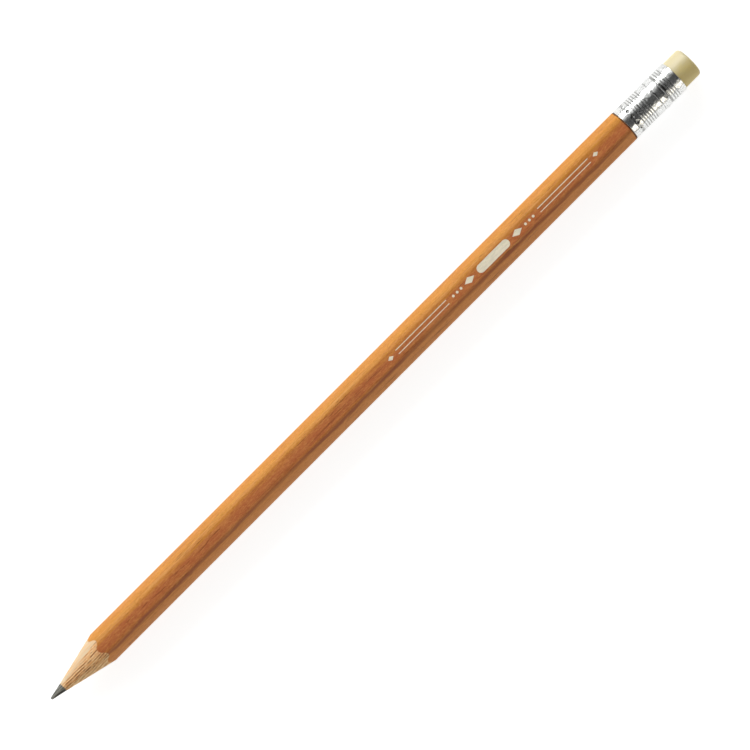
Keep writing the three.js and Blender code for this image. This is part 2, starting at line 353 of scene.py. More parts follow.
class Nodes:
    """Short calls for the nodes of a material or a world."""

    def __init__(self, tree):
        self.tree = tree

    def node(self, kind, inputs, **settings):
        """Adds a node. Inputs are values or other nodes' outputs, by name or number."""
        node = self.tree.nodes.new(kind)
        for name, value in settings.items():
            setattr(node, name, value)
        for name, value in inputs.items():
            self.feed(node.inputs[name], value)
        return node

    def feed(self, socket, value):
        """Links an output to a socket, or sets a plain value on it."""
        if isinstance(value, bpy.types.NodeSocket):
            self.tree.links.new(value, socket)
        else:
            socket.default_value = value

    def placed(self, where, shift, scale):
        """Coordinates scaled along each axis and then shifted."""
        values = {"Vector": where, "Location": shift, "Scale": scale}
        return self.node("ShaderNodeMapping", values).outputs["Vector"]

    def noise(self, where, scale, shift=(0, 0, 0), detail=2.0, roughness=0.5):
        """Soft noise from 0 to 1. The scale gives its features per unit along each axis."""
        values = {"Vector": self.placed(where, shift, scale), "Scale": 1.0}
        values |= {"Detail": detail, "Roughness": roughness}
        return self.node("ShaderNodeTexNoise", values).outputs["Fac"]

    def math(self, operation, first, second=0.0):
        """One step of arithmetic."""
        return self.node("ShaderNodeMath", {0: first, 1: second}, operation=operation).outputs[0]

    def plus(self, first, second):
        """The sum of two values."""
        return self.math("ADD", first, second)

    def times(self, first, second):
        """The product of two values."""
        return self.math("MULTIPLY", first, second)

    def along(self, where, direction):
        """How far a place lies in a direction."""
        values = {0: where, 1: direction}
        return self.node("ShaderNodeVectorMath", values, operation="DOT_PRODUCT").outputs["Value"]

    def off_axis(self, where):
        """How far a place lies from the pencil's axis."""
        across = self.node("ShaderNodeVectorMath", {0: where, 1: (0, 1, 1)}, operation="MULTIPLY")
        values = {0: across.outputs["Vector"]}
        return self.node("ShaderNodeVectorMath", values, operation="LENGTH").outputs["Value"]

    def step(self, value, low, high, bottom=0.0, top=1.0):
        """A smooth step from bottom to top as the value goes from low to high."""
        values = {"Value": value, "From Min": low, "From Max": high, "To Min": bottom, "To Max": top}
        return self.node("ShaderNodeMapRange", values, interpolation_type="SMOOTHSTEP").outputs["Result"]

    def mix(self, factor, first, second):
        """One colour over another."""
        values = {"Factor": factor, 6: first, 7: second}
        return self.node("ShaderNodeMix", values, data_type="RGBA").outputs[2]

    def bump(self, height, distance, under=None):
        """A bumped normal. The distance is the relief's full height."""
        values = {"Height": height, "Distance": distance, "Strength": 1.0}
        if under:
            values["Normal"] = under
        return self.node("ShaderNodeBump", values).outputs["Normal"]


class Finish(Nodes):
    """A node material with one Principled surface."""

    def __init__(self, name):
        self.material = bpy.data.materials.new(name)
        self.material.use_nodes = True
        super().__init__(self.material.node_tree)
        self.surface = self.tree.nodes["Principled BSDF"]

    def surface_values(self, **values):
        """Feeds the Principled surface. Underscores in the names stand for spaces."""
        for name, value in values.items():
            self.feed(self.surface.inputs[name.replace("_", " ")], value)

    def millimetres(self):
        """Object coordinates in millimetres, with the point's end of the axis at the origin."""
        where = self.node("ShaderNodeTexCoord", {}).outputs["Object"]
        return self.placed(where, (-TIP_PLACE / MM, 0, -AXIS_HEIGHT / MM), (1 / MM,) * 3)


def darker(tint, share):
    """A colour with a share of its light."""
    return (*(share * value for value in tint[:3]), 1.0)


def vein_marks(finish, where):
    """A dark vein in the wood that comes and goes along the middle of the upper flat."""
    from_tip = finish.along(where, (1, 0, 0))
    wander = finish.noise(where, (0.11, 0, 0), (2, 5, 0))
    gap = finish.plus(finish.along(where, (0, 1, 0)), finish.step(wander, 0.3, 0.7, -0.15, 0.4))
    line = finish.step(finish.math("ABSOLUTE", gap), 0.13, 0.04)
    breaks = finish.noise(where, (0.3, 0, 0), (9, 0, 0), detail=1)
    shown = finish.times(finish.step(breaks, 0.42, 0.56), finish.step(from_tip, 19, 23))
    shown = finish.times(shown, finish.step(from_tip, 56, 50))
    shown = finish.times(shown, finish.step(finish.along(where, (0, 0, 1)), 0, 1))
    return finish.times(line, shown)


def varnish_finish(barrel):
    """Satin amber varnish on straight-grained wood, stained dark along the glue seam, with painted shade
    towards the seam corner and at the ferrule, and painted highlight on the corners.
    """
    finish = Finish("amber_varnish")
    where = finish.millimetres()
    from_seam = finish.along(where, SEAM_NORMAL)

    streaks = finish.noise(where, (0.05, 2.2, 2.2), detail=6, roughness=0.7)
    mottle = finish.noise(where, (0.3, 1.4, 1.4), (7, 3, 1), detail=5, roughness=0.7)
    fibres = finish.noise(where, (0.22, 6, 6), (2, 9, 4), detail=4, roughness=0.6)

    upper = finish.step(from_seam, -0.15, 0.15)
    slat = finish.mix(upper, barrel.tan, barrel.amber)
    # Painted shade: the upper flat's varnish turns darker and redder towards the seam corner, broken by
    # the grain streaks
    seam_corner_shade = finish.times(finish.step(from_seam, 3.45, 1.6), finish.step(from_seam, 0.3, 1.4, 0.8, 1.0))
    seam_corner_shade = finish.times(seam_corner_shade, upper)
    seam_corner_shade = finish.plus(seam_corner_shade, finish.step(streaks, 0.3, 0.7, -0.3, 0.3))
    base = finish.mix(finish.step(seam_corner_shade, 0.0, 1.0), slat, barrel.russet_fibre_and_shade)
    toned = finish.mix(finish.step(mottle, 0.4, 0.75, 0.0, 0.5), base, barrel.tan)
    fibred = finish.mix(finish.step(fibres, 0.44, 0.7, 0.0, 0.5), toned, barrel.russet_fibre_and_shade)
    flecks = finish.noise(where, (1.5, 5, 5), (8, 2, 6), detail=4, roughness=0.8)
    flecked = finish.mix(finish.step(flecks, 0.5, 0.72, 0.0, 0.5), fibred, barrel.worn)
    flecked = finish.mix(finish.step(flecks, 0.48, 0.28, 0.0, 0.5), flecked, barrel.check)
    # Corners paler: partly rubbed varnish, partly painted highlight along the corners
    rubbed = finish.times(finish.step(finish.off_axis(where), 3.66, 3.8), finish.step(streaks, 0.45, 0.7))
    worn = finish.mix(finish.times(rubbed, 0.55), flecked, barrel.worn)

    pores = finish.noise(where, (0.32, 9, 9), (3, 1, 5))
    patches = finish.noise(where, (0.06, 0.7, 0.7), (11, 2, 9), detail=1)
    pore_marks = finish.times(finish.step(pores, 0.6, 0.7), finish.step(patches, 0.52, 0.62))
    checks = finish.noise(where, (0.012, 0.9, 0.9), (6, 1, 8), detail=3)
    checks = finish.math("ABSOLUTE", finish.math("SUBTRACT", checks, 0.5))
    check_marks = finish.times(finish.step(checks, 0.007, 0.002), finish.step(patches, 0.52, 0.6))
    marks = finish.math("MAXIMUM", pore_marks, check_marks)
    marks = finish.math("MAXIMUM", marks, vein_marks(finish, where))
    marked = finish.mix(finish.times(marks, 0.7), worn, barrel.check)

    stain_edge = finish.noise(where, (0.3, 2, 2), (2, 8, 4), detail=4, roughness=0.6)
    stain_strength = finish.noise(where, (0.05, 0.1, 0.1), (5, 5, 2), detail=3)
    drift = finish.noise(where, (0.09, 0, 0), (4, 0, 0), detail=3)
    seam_gap = finish.math("ABSOLUTE", finish.plus(from_seam, finish.step(drift, 0.3, 0.7, 0.0, 0.26)))
    seam_gap = finish.plus(seam_gap, finish.step(stain_edge, 0.2, 0.8, -0.16, 0.16))
    stain = finish.step(seam_gap, 0.6, 0.08)
    stain = finish.times(stain, finish.step(stain_strength, 0.35, 0.6, 0.4, 0.74))
    stained = finish.mix(stain, marked, barrel.seam_stain)
    shoulder = (SHOULDER_PLACE - TIP_PLACE) / MM
    # Painted shadow: the varnish darkens over the last 0.35 mm before the ferrule
    joint = finish.step(finish.along(where, (1, 0, 0)), shoulder - 0.35, shoulder - 0.1, 0.0, 0.85)
    with_painted_shade = finish.mix(joint, stained, barrel.joint_shadow)

    relief = finish.math("SUBTRACT", fibres, finish.times(marks, 0.8))
    normal = finish.bump(mottle, 0.03 * MM)
    normal = finish.bump(relief, 0.02 * MM, normal)
    finish.surface_values(
        Base_Color=with_painted_shade, Roughness=finish.step(streaks, 0.2, 0.8, 0.5, 0.36), Normal=normal,
        Specular_IOR_Level=0.12,
    )
    return finish.material


def bare_wood_finish(barrel):
    """Freshly sharpened wood: pale, with growth streaks and rows of short open pores along the grain."""
    finish = Finish("bare_wood")
    where = finish.millimetres()
    from_axis = finish.off_axis(where)
    side = finish.math("DIVIDE", finish.along(where, (0, -0.8, 0.6)), from_axis)
    bend = finish.noise(where, (0.15, 0.8, 0.8))
    crowding = finish.step(finish.plus(side, bend), 0.42, 0.98)
    # Painted light: the cone turns paler and loses its pores along the flank that faces the fill
    flank = finish.math("DIVIDE", finish.along(where, (0, -1, 0)), from_axis)
    painted_rim_light = finish.step(flank, 0.45, 0.85, 0.0, 0.5)

    growth = finish.noise(where, (0.06, 4, 0.3), detail=1)
    fine_growth = finish.noise(where, (0.2, 5, 0.5), (3, 8, 2), detail=1)
    toned = finish.mix(finish.times(crowding, 0.6), barrel.pale_wood, barrel.fibre)
    toned = finish.mix(painted_rim_light, toned, barrel.ridge_and_rim_light)
    streaked = finish.mix(finish.step(growth, 0.47, 0.6, 0.0, 0.35), toned, barrel.fibre)
    lined = finish.mix(finish.step(fine_growth, 0.48, 0.62, 0.0, 0.3), streaked, barrel.fibre)

    wander = finish.noise(where, (0.12, 0.6, 0.6), (5, 2, 8), detail=1)
    turns = finish.times(finish.along(where, (0, 1, 0)), math.tau * MM / barrel.pore_rows)
    rows = finish.math("SINE", finish.plus(turns, finish.times(wander, 8)))
    breaks = finish.noise(where, (0.8, 2.2, 0.5), (4, 7, 1), detail=1)
    marks = finish.times(finish.step(rows, -0.1, 0.8), finish.step(breaks, 0.42, 0.54))
    marks = finish.times(marks, finish.times(crowding, finish.math("SUBTRACT", 1, painted_rim_light)))
    pored = finish.mix(finish.times(marks, 0.85), lined, barrel.pore)
    tears = finish.noise(where, (1.6, 2.2, 0.5), (8, 2, 3), detail=1)
    ridges = finish.times(finish.step(rows, -0.1, -0.8, 0.0, 0.7), finish.step(tears, 0.42, 0.56))
    ridged = finish.mix(finish.times(ridges, crowding), pored, barrel.ridge_and_rim_light)
    smudge = finish.step(from_axis, barrel.core_radius / MM + 0.12, barrel.core_radius / MM, 0.0, 0.3)
    smudged = finish.mix(smudge, ridged, barrel.graphite)

    relief = finish.math("SUBTRACT", growth, finish.times(marks, 0.5))
    finish.surface_values(
        Base_Color=smudged, Roughness=0.72, Normal=finish.bump(relief, 0.05 * MM),
        Specular_IOR_Level=0.25,
    )
    return finish.material


def graphite_finish(barrel):
    """Ground graphite: dark and silky, with fine marks from the sharpener's blade."""
    finish = Finish("graphite")
    where = finish.millimetres()
    marks = finish.noise(where, (0.3, 4, 1), (6, 3.2, -2), detail=0)
    turned = finish.noise(where, (9, 1.5, 1.5), (1, 2, 3))
    grit = finish.noise(where, (14, 14, 14), detail=3, roughness=0.7)
    dark = darker(barrel.graphite, 0.2)
    shade = finish.plus(finish.times(marks, 0.85), finish.times(grit, 0.15))
    relief = finish.plus(shade, finish.times(turned, 0.5))
    finish.surface_values(
        Base_Color=finish.mix(finish.step(shade, 0.4, 0.6), dark, barrel.graphite),
        Roughness=finish.step(marks, 0.3, 0.7, 0.6, 0.42), Specular_IOR_Level=0.25,
        Normal=finish.bump(relief, 0.03 * MM),
    )
    return finish.material


def foil_finish(stamp, barrel):
    """Cream pigment foil, pressed on hot, with small gaps where the grain let it go."""
    finish = Finish("stamp_foil")
    where = finish.millimetres()
    gaps = finish.noise(where, (1.2, 9, 9), detail=4, roughness=0.7)
    worn = finish.step(gaps, 0.63, 0.72, 0.0, 0.85)
    tint = finish.noise(where, (0.8, 3, 3), (3, 3, 3))
    shade = darker(stamp.cream, 0.86)
    cream = finish.mix(finish.step(tint, 0.3, 0.7), shade, stamp.cream)
    finish.surface_values(
        Base_Color=finish.mix(worn, cream, barrel.amber), Roughness=0.42,
        Normal=finish.bump(gaps, 0.008 * MM), Specular_IOR_Level=0.4,
    )
    return finish.material


def ferrule_finish(ferrule):
    """Bright drawn aluminium with fine lines round it from the rolling, and painted shade in the grooves.
    """
    finish = Finish("ferrule_metal")
    where = finish.millimetres()
    lines = finish.noise(where, (16, 0.5, 0.5), detail=4, roughness=0.65)
    specks = finish.noise(where, (5, 5, 5), (2, 4, 8), detail=4, roughness=0.7)
    scuffs = finish.noise(where, (1.1, 2.6, 2.6), (6, 1, 3), detail=5, roughness=0.7)
    bright = finish.mix(finish.step(specks, 0.38, 0.5), ferrule.tarnish, ferrule.metal)
    scuffed = finish.mix(finish.step(scuffs, 0.56, 0.66, 0.0, 0.6), bright, ferrule.tarnish)
    # Painted shade: the metal darkens with the depth below the plain wall, in the grooves, pricks and
    # crimp
    depth = finish.math("SUBTRACT", ferrule.diameter / 2 / MM, finish.off_axis(where))
    with_painted_shade = finish.mix(finish.step(depth, 0.06, 0.13, 0.0, 0.6), scuffed, ferrule.groove_shade)
    relief = finish.plus(finish.times(lines, 0.4), finish.times(specks, 0.6))
    finish.surface_values(
        Base_Color=with_painted_shade, Metallic=1.0, Roughness=finish.step(lines, 0.3, 0.7, 0.1, 0.22),
        Normal=finish.bump(relief, 0.02 * MM),
    )
    return finish.material


def eraser_finish(eraser):
    """Cream rubber with a fine cut grain and a pale mottled bloom, and painted sheen: paler on the key's
    side, yellower on the other.
    """
    finish = Finish("eraser_rubber")
    where = finish.millimetres()
    bloom = finish.noise(where, (0.7, 0.7, 0.7), detail=4, roughness=0.6)
    grain = finish.noise(where, (9, 9, 9), detail=4, roughness=0.7)
    cut = finish.noise(where, (6, 0.7, 0.7), (5, 1, 2))
    # Painted sheen and shade: paler towards the key's side and yellower on the other, broken by the bloom
    # noise
    painted_sheen_side_and_bloom = finish.plus(finish.along(where, (0, 0.25, 0)), bloom)
    bloom_and_painted_sheen = finish.mix(finish.step(painted_sheen_side_and_bloom, 0.0, 0.9), eraser.rubber, eraser.dust)
    shade = darker(eraser.rubber, 0.82)
    grained = finish.mix(finish.step(grain, 0.55, 0.75, 0.0, 0.4), bloom_and_painted_sheen, shade)
    relief = finish.plus(finish.times(grain, 0.6), finish.times(cut, 0.5))
    finish.surface_values(
        Base_Color=grained, Roughness=0.45, Normal=finish.bump(relief, 0.03 * MM),
        Specular_IOR_Level=0.9,
    )
    return finish.material


def floor_finish(stage):
    """Pale paper that looks white to the camera and in reflections, and still takes the shadow."""
    finish = Finish("pale_floor")
    path = finish.node("ShaderNodeLightPath", {})
    seen = finish.math("MAXIMUM", path.outputs["Is Camera Ray"], path.outputs["Is Glossy Ray"])
    seen = finish.math("MAXIMUM", seen, path.outputs["Is Transmission Ray"])
    finish.surface_values(
        Base_Color=finish.mix(seen, stage.floor, stage.floor_shade), Roughness=0.9, Specular_IOR_Level=0.0,
        Emission_Color=(1.0, 1.0, 1.0, 1.0),
        Emission_Strength=finish.times(seen, stage.floor_glow),
    )
    return finish.material


# Pieces

class PENCIL_OT_graphite_core(Operator):
    """Turns the lead, with its ground point, worn blunt"""

    bl_idname = "pencil.graphite_core"
    bl_label = "Graphite core"

    around = 96
    tip_steps = 10

    def execute(self, context):
        barrel = context.scene.pencil_barrel
        radius = barrel.core_radius
        edge = cone_place(barrel, radius)
        centre = TIP_PLACE + barrel.worn_radius
        away = Vector((edge - centre, radius))
        slope = math.atan2(away.y, away.x) - math.asin(barrel.worn_radius / away.length)
        tip = list(arc(centre, 0, barrel.worn_radius, 180, 90 + math.degrees(slope), self.tip_steps))
        profile = tip + [(edge, radius), (TENON_END, radius), (TENON_END, 0)]
        mesh = spun(profile, self.around)
        piece_from(mesh, "lead", graphite_finish(barrel), "graphite_core")
        return {"FINISHED"}


class PENCIL_OT_wood_slats(Operator):
    """Shapes the two grooved slats as one blank and parts them at the glue seam"""

    bl_idname = "pencil.wood_slats"
    bl_label = "Wood slats"

    cone_steps = 60
    corner_steps = 20
    flat_cuts = 27
    rim_share = 0.01

    def blank(self, barrel):
        """Both slats together: cone, hexagon, shoulder and tenon, with the groove for the lead."""
        inset = barrel.film + barrel.bond
        across = barrel.across_flats - 2 * inset
        groove = barrel.core_radius + barrel.glue
        mesh = bmesh.new()
        hexagonal_tube(
            mesh, across, barrel.corner_radius - inset, TIP_PLACE, SHOULDER_PLACE,
            self.corner_steps, self.flat_cuts,
        )
        rear = end_edges(mesh, SHOULDER_PLACE)
        front = end_edges(mesh, TIP_PLACE)
        seat_on_cone(barrel, vertices_of(front))
        mouth = barrel.core_radius + barrel.glue / 5
        for left in reversed(range(self.cone_steps)):
            front = extrude_loop(mesh, front)
            for vertex in vertices_of(front):
                radius = radius_at(vertex.co)
                set_radius(vertex, mouth + (radius - mouth) * left / (left + 1))
            seat_on_cone(barrel, vertices_of(front))
        self.raise_grain(mesh, barrel, across / 2, groove)
        for radius, place in ((barrel.tenon_radius, SHOULDER_PLACE), (barrel.tenon_radius, TENON_END),
                              (groove, TENON_END)):
            rear = extrude_loop(mesh, rear)
            for vertex in vertices_of(rear):
                set_radius(vertex, radius)
                vertex.co.x = place
        bmesh.ops.bridge_loops(mesh, edges=front + rear)
        return mesh

    def raise_grain(self, mesh, barrel, outer, groove):
        """Lifts and sinks the cone's surface along the fibres, but not at its two rims."""
        low, high = groove * (1 + self.rim_share), outer * (1 - self.rim_share)
        for vertex in mesh.verts:
            radius = radius_at(vertex.co)
            on_cone = vertex.co.x < cone_place(barrel, radius) + 1e-6 and vertex.co.x < 0
            if not on_cone or radius < low or radius > high:
                continue
            place = vertex.co / MM
            fibres = noise.fractal(Vector((place.x * 0.25, place.y * 4, place.z)), 0.7, 2.0, 3)
            set_radius(vertex, radius + barrel.grain_relief * max(-1.0, min(1.0, fibres)))

    def execute(self, context):
        barrel = context.scene.pencil_barrel
        whole = self.blank(barrel)
        material = bare_wood_finish(barrel)
        for name, side in (("upper_slat", 1), ("lower_slat", -1)):
            half = whole.copy()
            normal = SEAM_NORMAL * side
            bmesh.ops.bisect_plane(
                half, geom=half.verts[:] + half.edges[:] + half.faces[:], dist=1e-9,
                plane_co=Vector((0, 0, AXIS_HEIGHT)) + normal * barrel.glue / 2, plane_no=normal,
                clear_inner=True,
            )
            rim = [edge for edge in half.edges if edge.is_boundary]
            bmesh.ops.holes_fill(half, edges=rim, sides=0)
            piece_from(half, name.replace("slat", "half"), material, name)
        whole.free()
        return {"FINISHED"}


class PENCIL_OT_varnish_coat(Operator):
    """Lays the varnish film on the hexagon, cut back in scallops by the sharpened cone"""

    bl_idname = "pencil.varnish_coat"
    bl_label = "Varnish coat"

    corner_steps = 20
    flat_cuts = 30
    chip_pace = 16

    def chip(self, barrel, vertices):
        """Breaks the film's cut edge back here and there, alike on both of its faces."""
        for vertex in vertices:
            outward = Vector((0, vertex.co.y, vertex.co.z - AXIS_HEIGHT)).normalized()
            vertex.co.x += barrel.chips * max(0.0, noise.noise(outward * self.chip_pace) + 0.25)

    def execute(self, context):
        barrel = context.scene.pencil_barrel
        turned = ACROSS_CORNERS / 2 - barrel.chamfer
        chamfer_place = SHOULDER_PLACE - barrel.chamfer
        mesh = bmesh.new()
        hexagonal_tube(
            mesh, barrel.across_flats, barrel.corner_radius, TIP_PLACE, chamfer_place,
            self.corner_steps, self.flat_cuts,
        )
        front = end_edges(mesh, TIP_PLACE)
        rear = extrude_loop(mesh, end_edges(mesh, chamfer_place))
        for vertex in vertices_of(rear):
            vertex.co.x = SHOULDER_PLACE
            set_radius(vertex, min(turned, radius_at(vertex.co)))
        seat_on_cone(barrel, vertices_of(front))
        self.chip(barrel, vertices_of(front))
        inner = extrude_loop(mesh, front)
        share = 1 - barrel.film / (barrel.across_flats / 2)
        for vertex in vertices_of(inner):
            set_radius(vertex, radius_at(vertex.co) * share)
        seat_on_cone(barrel, vertices_of(inner))
        self.chip(barrel, vertices_of(inner))
        inner = extrude_loop(mesh, inner)
        for vertex in vertices_of(inner):
            vertex.co.x = SHOULDER_PLACE
            set_radius(vertex, min(turned - barrel.film, radius_at(vertex.co)))
        bmesh.ops.bridge_loops(mesh, edges=inner + rear)
        piece_from(mesh, "varnish", varnish_finish(barrel), "varnish_coat")
        return {"FINISHED"}


class PENCIL_OT_foil_stamp(Operator):
    """Presses the foil ornament on to the upper flat"""

    bl_idname = "pencil.foil_stamp"
    bl_label = "Foil stamp"

    round_steps = 24
    # A share of the label's width, just under a half so that the rounded corners don't meet
    end_rounding = 0.499

    def motif(self, mesh, segments, place, half_length, half_width):
        """A flat lozenge or dot on the upper flat."""
        scale = Matrix.Diagonal((half_length, half_width, 1, 1))
        where = Matrix.Translation((TIP_PLACE + place, 0, COAT_HIGH[2]))
        bmesh.ops.create_circle(mesh, cap_ends=True, segments=segments, radius=1, matrix=where @ scale)

    def rule(self, mesh, place, across, half_length, half_width):
        """A straight bar along the upper flat. Returns its face."""
        scale = Matrix.Diagonal((half_length, half_width, 1, 1))
        where = Matrix.Translation((TIP_PLACE + place, across, COAT_HIGH[2]))
        made = bmesh.ops.create_grid(mesh, x_segments=1, y_segments=1, size=1, matrix=where @ scale)
        return made["verts"][0].link_faces[0]

    def label(self, mesh, stamp):
        """The blank label: a round-ended panel inside a thin border."""
        face = self.rule(mesh, stamp.middle, 0, stamp.label_length / 2, stamp.label_width / 2)
        bmesh.ops.bevel(
            mesh, geom=face.verts[:], offset=stamp.label_width * self.end_rounding, offset_type="OFFSET",
            segments=self.round_steps // 2, profile=0.5, affect="VERTICES", material=-1,
        )
        panel = max(mesh.faces, key=lambda face: face.calc_area())
        bmesh.ops.inset_region(mesh, faces=[panel], thickness=stamp.line_width)
        gap = bmesh.ops.inset_region(mesh, faces=[panel], thickness=stamp.line_width)["faces"]
        bmesh.ops.delete(mesh, geom=gap, context="FACES")

    def execute(self, context):
        stamp = context.scene.pencil_stamp
        mesh = bmesh.new()
        self.label(mesh, stamp)
        half_lozenge, half_rule = stamp.lozenge_length / 2, stamp.rule_length / 2
        for side in (-1, 1):
            reach = stamp.label_length / 2 + stamp.spacing + half_lozenge
            self.motif(mesh, 4, stamp.middle + side * reach, half_lozenge, stamp.lozenge_width / 2)
            reach += half_lozenge + stamp.spacing
            for _ in range(stamp.dots):
                dot = stamp.middle + side * reach
                self.motif(mesh, self.round_steps, dot, stamp.dot_radius, stamp.dot_radius)
                reach += 2 * stamp.dot_radius + stamp.spacing / 2
            reach += stamp.spacing / 2 + half_rule
            for across in (-stamp.rule_spread, stamp.rule_spread):
                self.rule(mesh, stamp.middle + side * reach, across, half_rule, stamp.line_width / 2)
            reach += half_rule + stamp.spacing + stamp.lozenge_width / 2
            self.motif(mesh, 4, stamp.middle + side * reach, stamp.lozenge_width / 2, stamp.rule_spread)
        lifted = bmesh.ops.extrude_face_region(mesh, geom=mesh.faces[:])["geom"]
        top = [part for part in lifted if isinstance(part, bmesh.types.BMVert)]
        bmesh.ops.translate(mesh, verts=top, vec=(0, 0, stamp.thickness))
        piece_from(mesh, "foil_stamp", foil_finish(stamp, context.scene.pencil_barrel))
        return {"FINISHED"}


class PENCIL_OT_ferrule(Operator):
    """Rolls and stakes the ferrule"""

    bl_idname = "pencil.ferrule"
    bl_label = "Ferrule"

    around = 240
    plain_step = 0.13 * MM
    depth_margin = 0.01 * MM

    def wave(self, start, width, height, steps, sharpness=1):
        """A rounded swell, or a groove where the height is negative: (place, height) pairs."""
        for step in range(steps):
            share = step / steps
            yield start + share * width, height * math.sin(share * math.pi) ** sharpness

    def plain(self, start, width):
        """A level stretch, with points close enough to carry the wall's unevenness."""
        steps = math.ceil(width / self.plain_step)
        return self.wave(start, width, 0, steps)

    def ribs(self, start, width, ferrule):
        """Rolled ribs with a narrow valley in each pitch."""
        crest = ferrule.rib_pitch - ferrule.rib_valley
        for rib in range(round(width / ferrule.rib_pitch)):
            at = start + rib * ferrule.rib_pitch
            yield from self.wave(at, crest, 0, 2)
            yield from self.wave(at + crest, ferrule.rib_valley, -ferrule.rib_depth, 10, 1.5)

    def outline(self, ferrule):
        """The outer wall from the wood to the lip: (place, radius) pairs."""
        start = FERRULE_LOW[0]
        radius = ferrule.diameter / 2
        points = list(arc(start + ferrule.edge, radius - ferrule.edge, ferrule.edge, 180, 90, 6))
        stretches = (
            (self.plain, ferrule.collar),
            (self.wave, ferrule.stake_width, -ferrule.stake_depth, 18),
            (self.ribs, ferrule.wood_ribs * ferrule.rib_pitch, ferrule),
            (self.plain, ferrule.band),
            (self.wave, ferrule.neck_width, -ferrule.neck_depth, 8, 1.5),
            (self.wave, ferrule.bead_width, ferrule.bead_height, 20, 1.2),
            (self.wave, ferrule.crimp_width, -ferrule.crimp_depth, 14, 1.5),
            (self.ribs, ferrule.eraser_ribs * ferrule.rib_pitch, ferrule),
            (self.plain, ferrule.mouth - ferrule.lip),
        )
        for shape, width, *form in stretches:
            shaped = shape(start, width, *form)
            points += [(place, radius + height) for place, height in shaped if place > points[-1][0]]
            start += width
        return points

    def stake(self, vertex, ferrule, radius):
        """How deep a staking prick is at a vertex: a four-sided dent, its corners along and across."""
        middle = FERRULE_LOW[0] + ferrule.collar + ferrule.stake_width / 2
        pitch = math.tau / ferrule.pricks
        turn = math.atan2(vertex.co.y, vertex.co.z - AXIS_HEIGHT)
        across = (turn / pitch - round(turn / pitch)) * pitch * radius
        share = (abs(vertex.co.x - middle) + abs(across)) / (ferrule.prick_size / 2)
        return ferrule.prick_depth * max(0.0, 1 - share)

    def execute(self, context):
        ferrule = context.scene.pencil_ferrule
        radius = ferrule.diameter / 2
        outer = self.outline(ferrule)
        mouth = FERRULE_HIGH[0]
        lip = list(arc(mouth - ferrule.lip, radius - ferrule.lip, ferrule.lip, 90, 0, 6))
        inner = [(mouth, radius - ferrule.wall)]
        inner += [(place, height - ferrule.wall) for place, height in reversed(outer[::6])]
        mesh = spun(outer + lip + inner + outer[:1], self.around)
        deepest = radius - ferrule.crimp_depth - self.depth_margin
        for vertex in mesh.verts:
            here = radius_at(vertex.co)
            if here < deepest:
                continue
            place = Vector((vertex.co.x * 1.5, vertex.co.y * 1.2, vertex.co.z * 1.2)) / MM
            uneven = (noise.fractal(place, 0.6, 2.0, 4) - 1) * ferrule.unevenness
            set_radius(vertex, here + min(uneven, 0) - self.stake(vertex, ferrule, here))
        piece_from(mesh, "ferrule_tube", ferrule_finish(ferrule), "ferrule", crease=60)
        return {"FINISHED"}


class PENCIL_OT_eraser(Operator):
    """Turns the eraser plug, pinched inside the ferrule and rounded at its end"""

    bl_idname = "pencil.eraser"
    bl_label = "Eraser"

    around = 128
    side_steps = 24
    edge_steps = 14
    face_rings = 8
    mouth_margin = 0.1 * MM
    face_margin = 0.05 * MM

    def execute(self, context):
        eraser = context.scene.pencil_eraser
        ferrule = context.scene.pencil_ferrule
        start, end = ERASER_LOW[0], ERASER_HIGH[0]
        pinched = eraser.radius - eraser.pinch
        seat_end = FERRULE_HIGH[0] - ferrule.mouth
        profile = [(start, 0), (start, pinched), (seat_end, pinched), (seat_end, eraser.radius)]
        reach = end - eraser.edge_radius
        face = eraser.radius - eraser.edge_radius
        for step in range(1, self.side_steps):
            profile.append((seat_end + (reach - seat_end) * step / self.side_steps, eraser.radius))
        profile += arc(reach, face, eraser.edge_radius, 90, 0, self.edge_steps)
        profile += [(end, face * ring / self.face_rings) for ring in reversed(range(self.face_rings))]
        mesh = spun(profile, self.around)
        for vertex in mesh.verts:
            if FERRULE_HIGH[0] + self.mouth_margin < vertex.co.x < end - self.face_margin:
                uneven = noise.fractal(vertex.co / MM * 0.9, 0.8, 2.0, 3) * eraser.unevenness
                set_radius(vertex, radius_at(vertex.co) + min(uneven, 0))
        piece_from(mesh, "eraser_plug", eraser_finish(eraser), "eraser")
        return {"FINISHED"}


